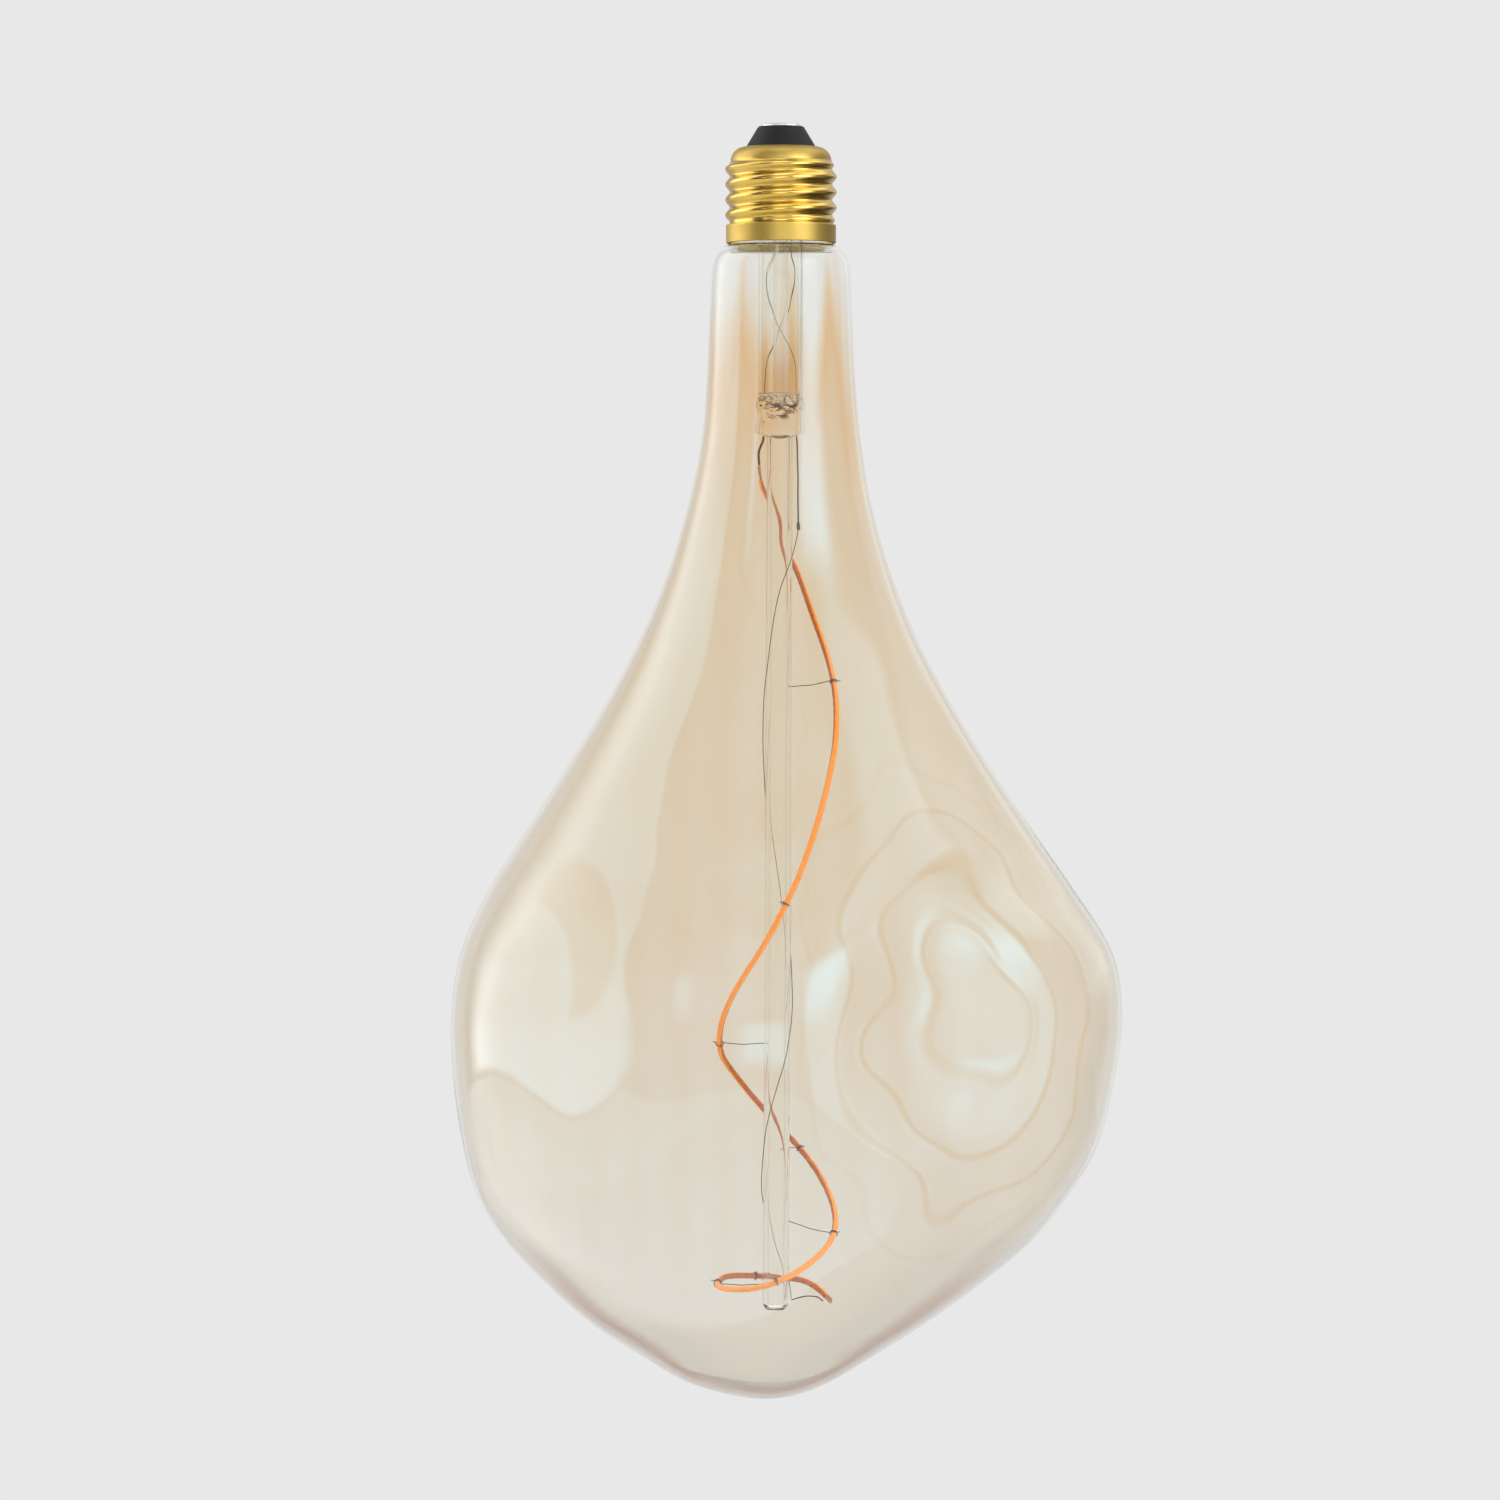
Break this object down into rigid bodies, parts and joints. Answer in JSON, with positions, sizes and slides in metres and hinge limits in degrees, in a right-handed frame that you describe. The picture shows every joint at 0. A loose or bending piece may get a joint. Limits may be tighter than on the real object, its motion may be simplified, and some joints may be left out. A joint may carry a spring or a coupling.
{
  "type": "light bulb",
  "caption": "Large dented drop-shaped LED filament lamp of amber glass on a brass E27 screw cap, with a spiral filament round a glass tube.",
  "frame": {"origin": "centre of the end contact's outer face, which presses on the lampholder's centre contact", "axes": "+Z out of the cap, away from the glass; the glass hangs below, and -Y faces the viewer"},
  "size_m": [0.158, 0.1556, 0.3],
  "materials": {
    "cap_brass": "rolled brass, bright thread and satin skirt",
    "black_glass": "black vitrified insulator, satin",
    "contact_metal": "tinned and slightly dull",
    "cement": "dull baked cement",
    "amber_glass": "clear blown glass with an amber lustre below the neck",
    "stem_glass": "clear drawn glass",
    "copper_wire": "copper-clad wire",
    "steel_wire": "thin nickel and molybdenum wire, dark",
    "white_sleeve": "white insulation",
    "phosphor": "orange silicone phosphor, satin",
    "copper_flex": "flexible printed carrier",
    "chip": "LED chips",
    "terminal_metal": "plated strip, pinkish",
    "board": "glass-fibre board with solder mask",
    "black_package": "moulded packages",
    "resistor_body": "lacquered",
    "capacitor_sleeve": "shrunk sleeve",
    "ferrite": "dark ferrite",
    "radio_board": "blue solder mask",
    "shield_metal": "tinned shield",
    "red_insulation": "red insulation",
    "solder": "solder"
  },
  "bodies": {
    "root": {"cap_shell": "cap_brass", "cap_insulator": "black_glass", "centre_contact": "contact_metal", "capping_cement": "cement", "glass_envelope": "amber_glass", "stem_flare": "stem_glass", "exhaust_tube": "stem_glass", "stem_press": "stem_glass", "support_tube": "stem_glass", "seal_wires": "copper_wire", "outer_lead_left": "steel_wire", "outer_lead_right": "steel_wire", "lead_sleeve": "white_sleeve", "inner_lead_left": "steel_wire", "inner_lead_right": "steel_wire", "lead_crimp": "steel_wire", "return_wire": "steel_wire", "bottom_tie": "steel_wire", "filament_coat": "phosphor", "filament_strip": "copper_flex", "filament_chips": "chip", "top_terminal": "terminal_metal", "bottom_terminal": "terminal_metal", "driver_board": "board", "bridge_rectifier": "black_package", "driver_chip": "black_package", "fusible_resistor": "resistor_body", "smoothing_capacitor": "capacitor_sleeve", "choke": "ferrite", "radio_module": "radio_board", "radio_shield": "shield_metal", "radio_aerial": "copper_wire", "live_wire": "red_insulation", "neutral_wire": "white_sleeve", "neutral_solder": "solder", "anchor_1": "steel_wire", "anchor_2": "steel_wire", "anchor_3": "steel_wire", "anchor_4": "steel_wire", "anchor_5": "steel_wire", "anchor_6": "steel_wire", "anchor_7": "steel_wire", "anchor_8": "steel_wire"}
  },
  "joints": []
}
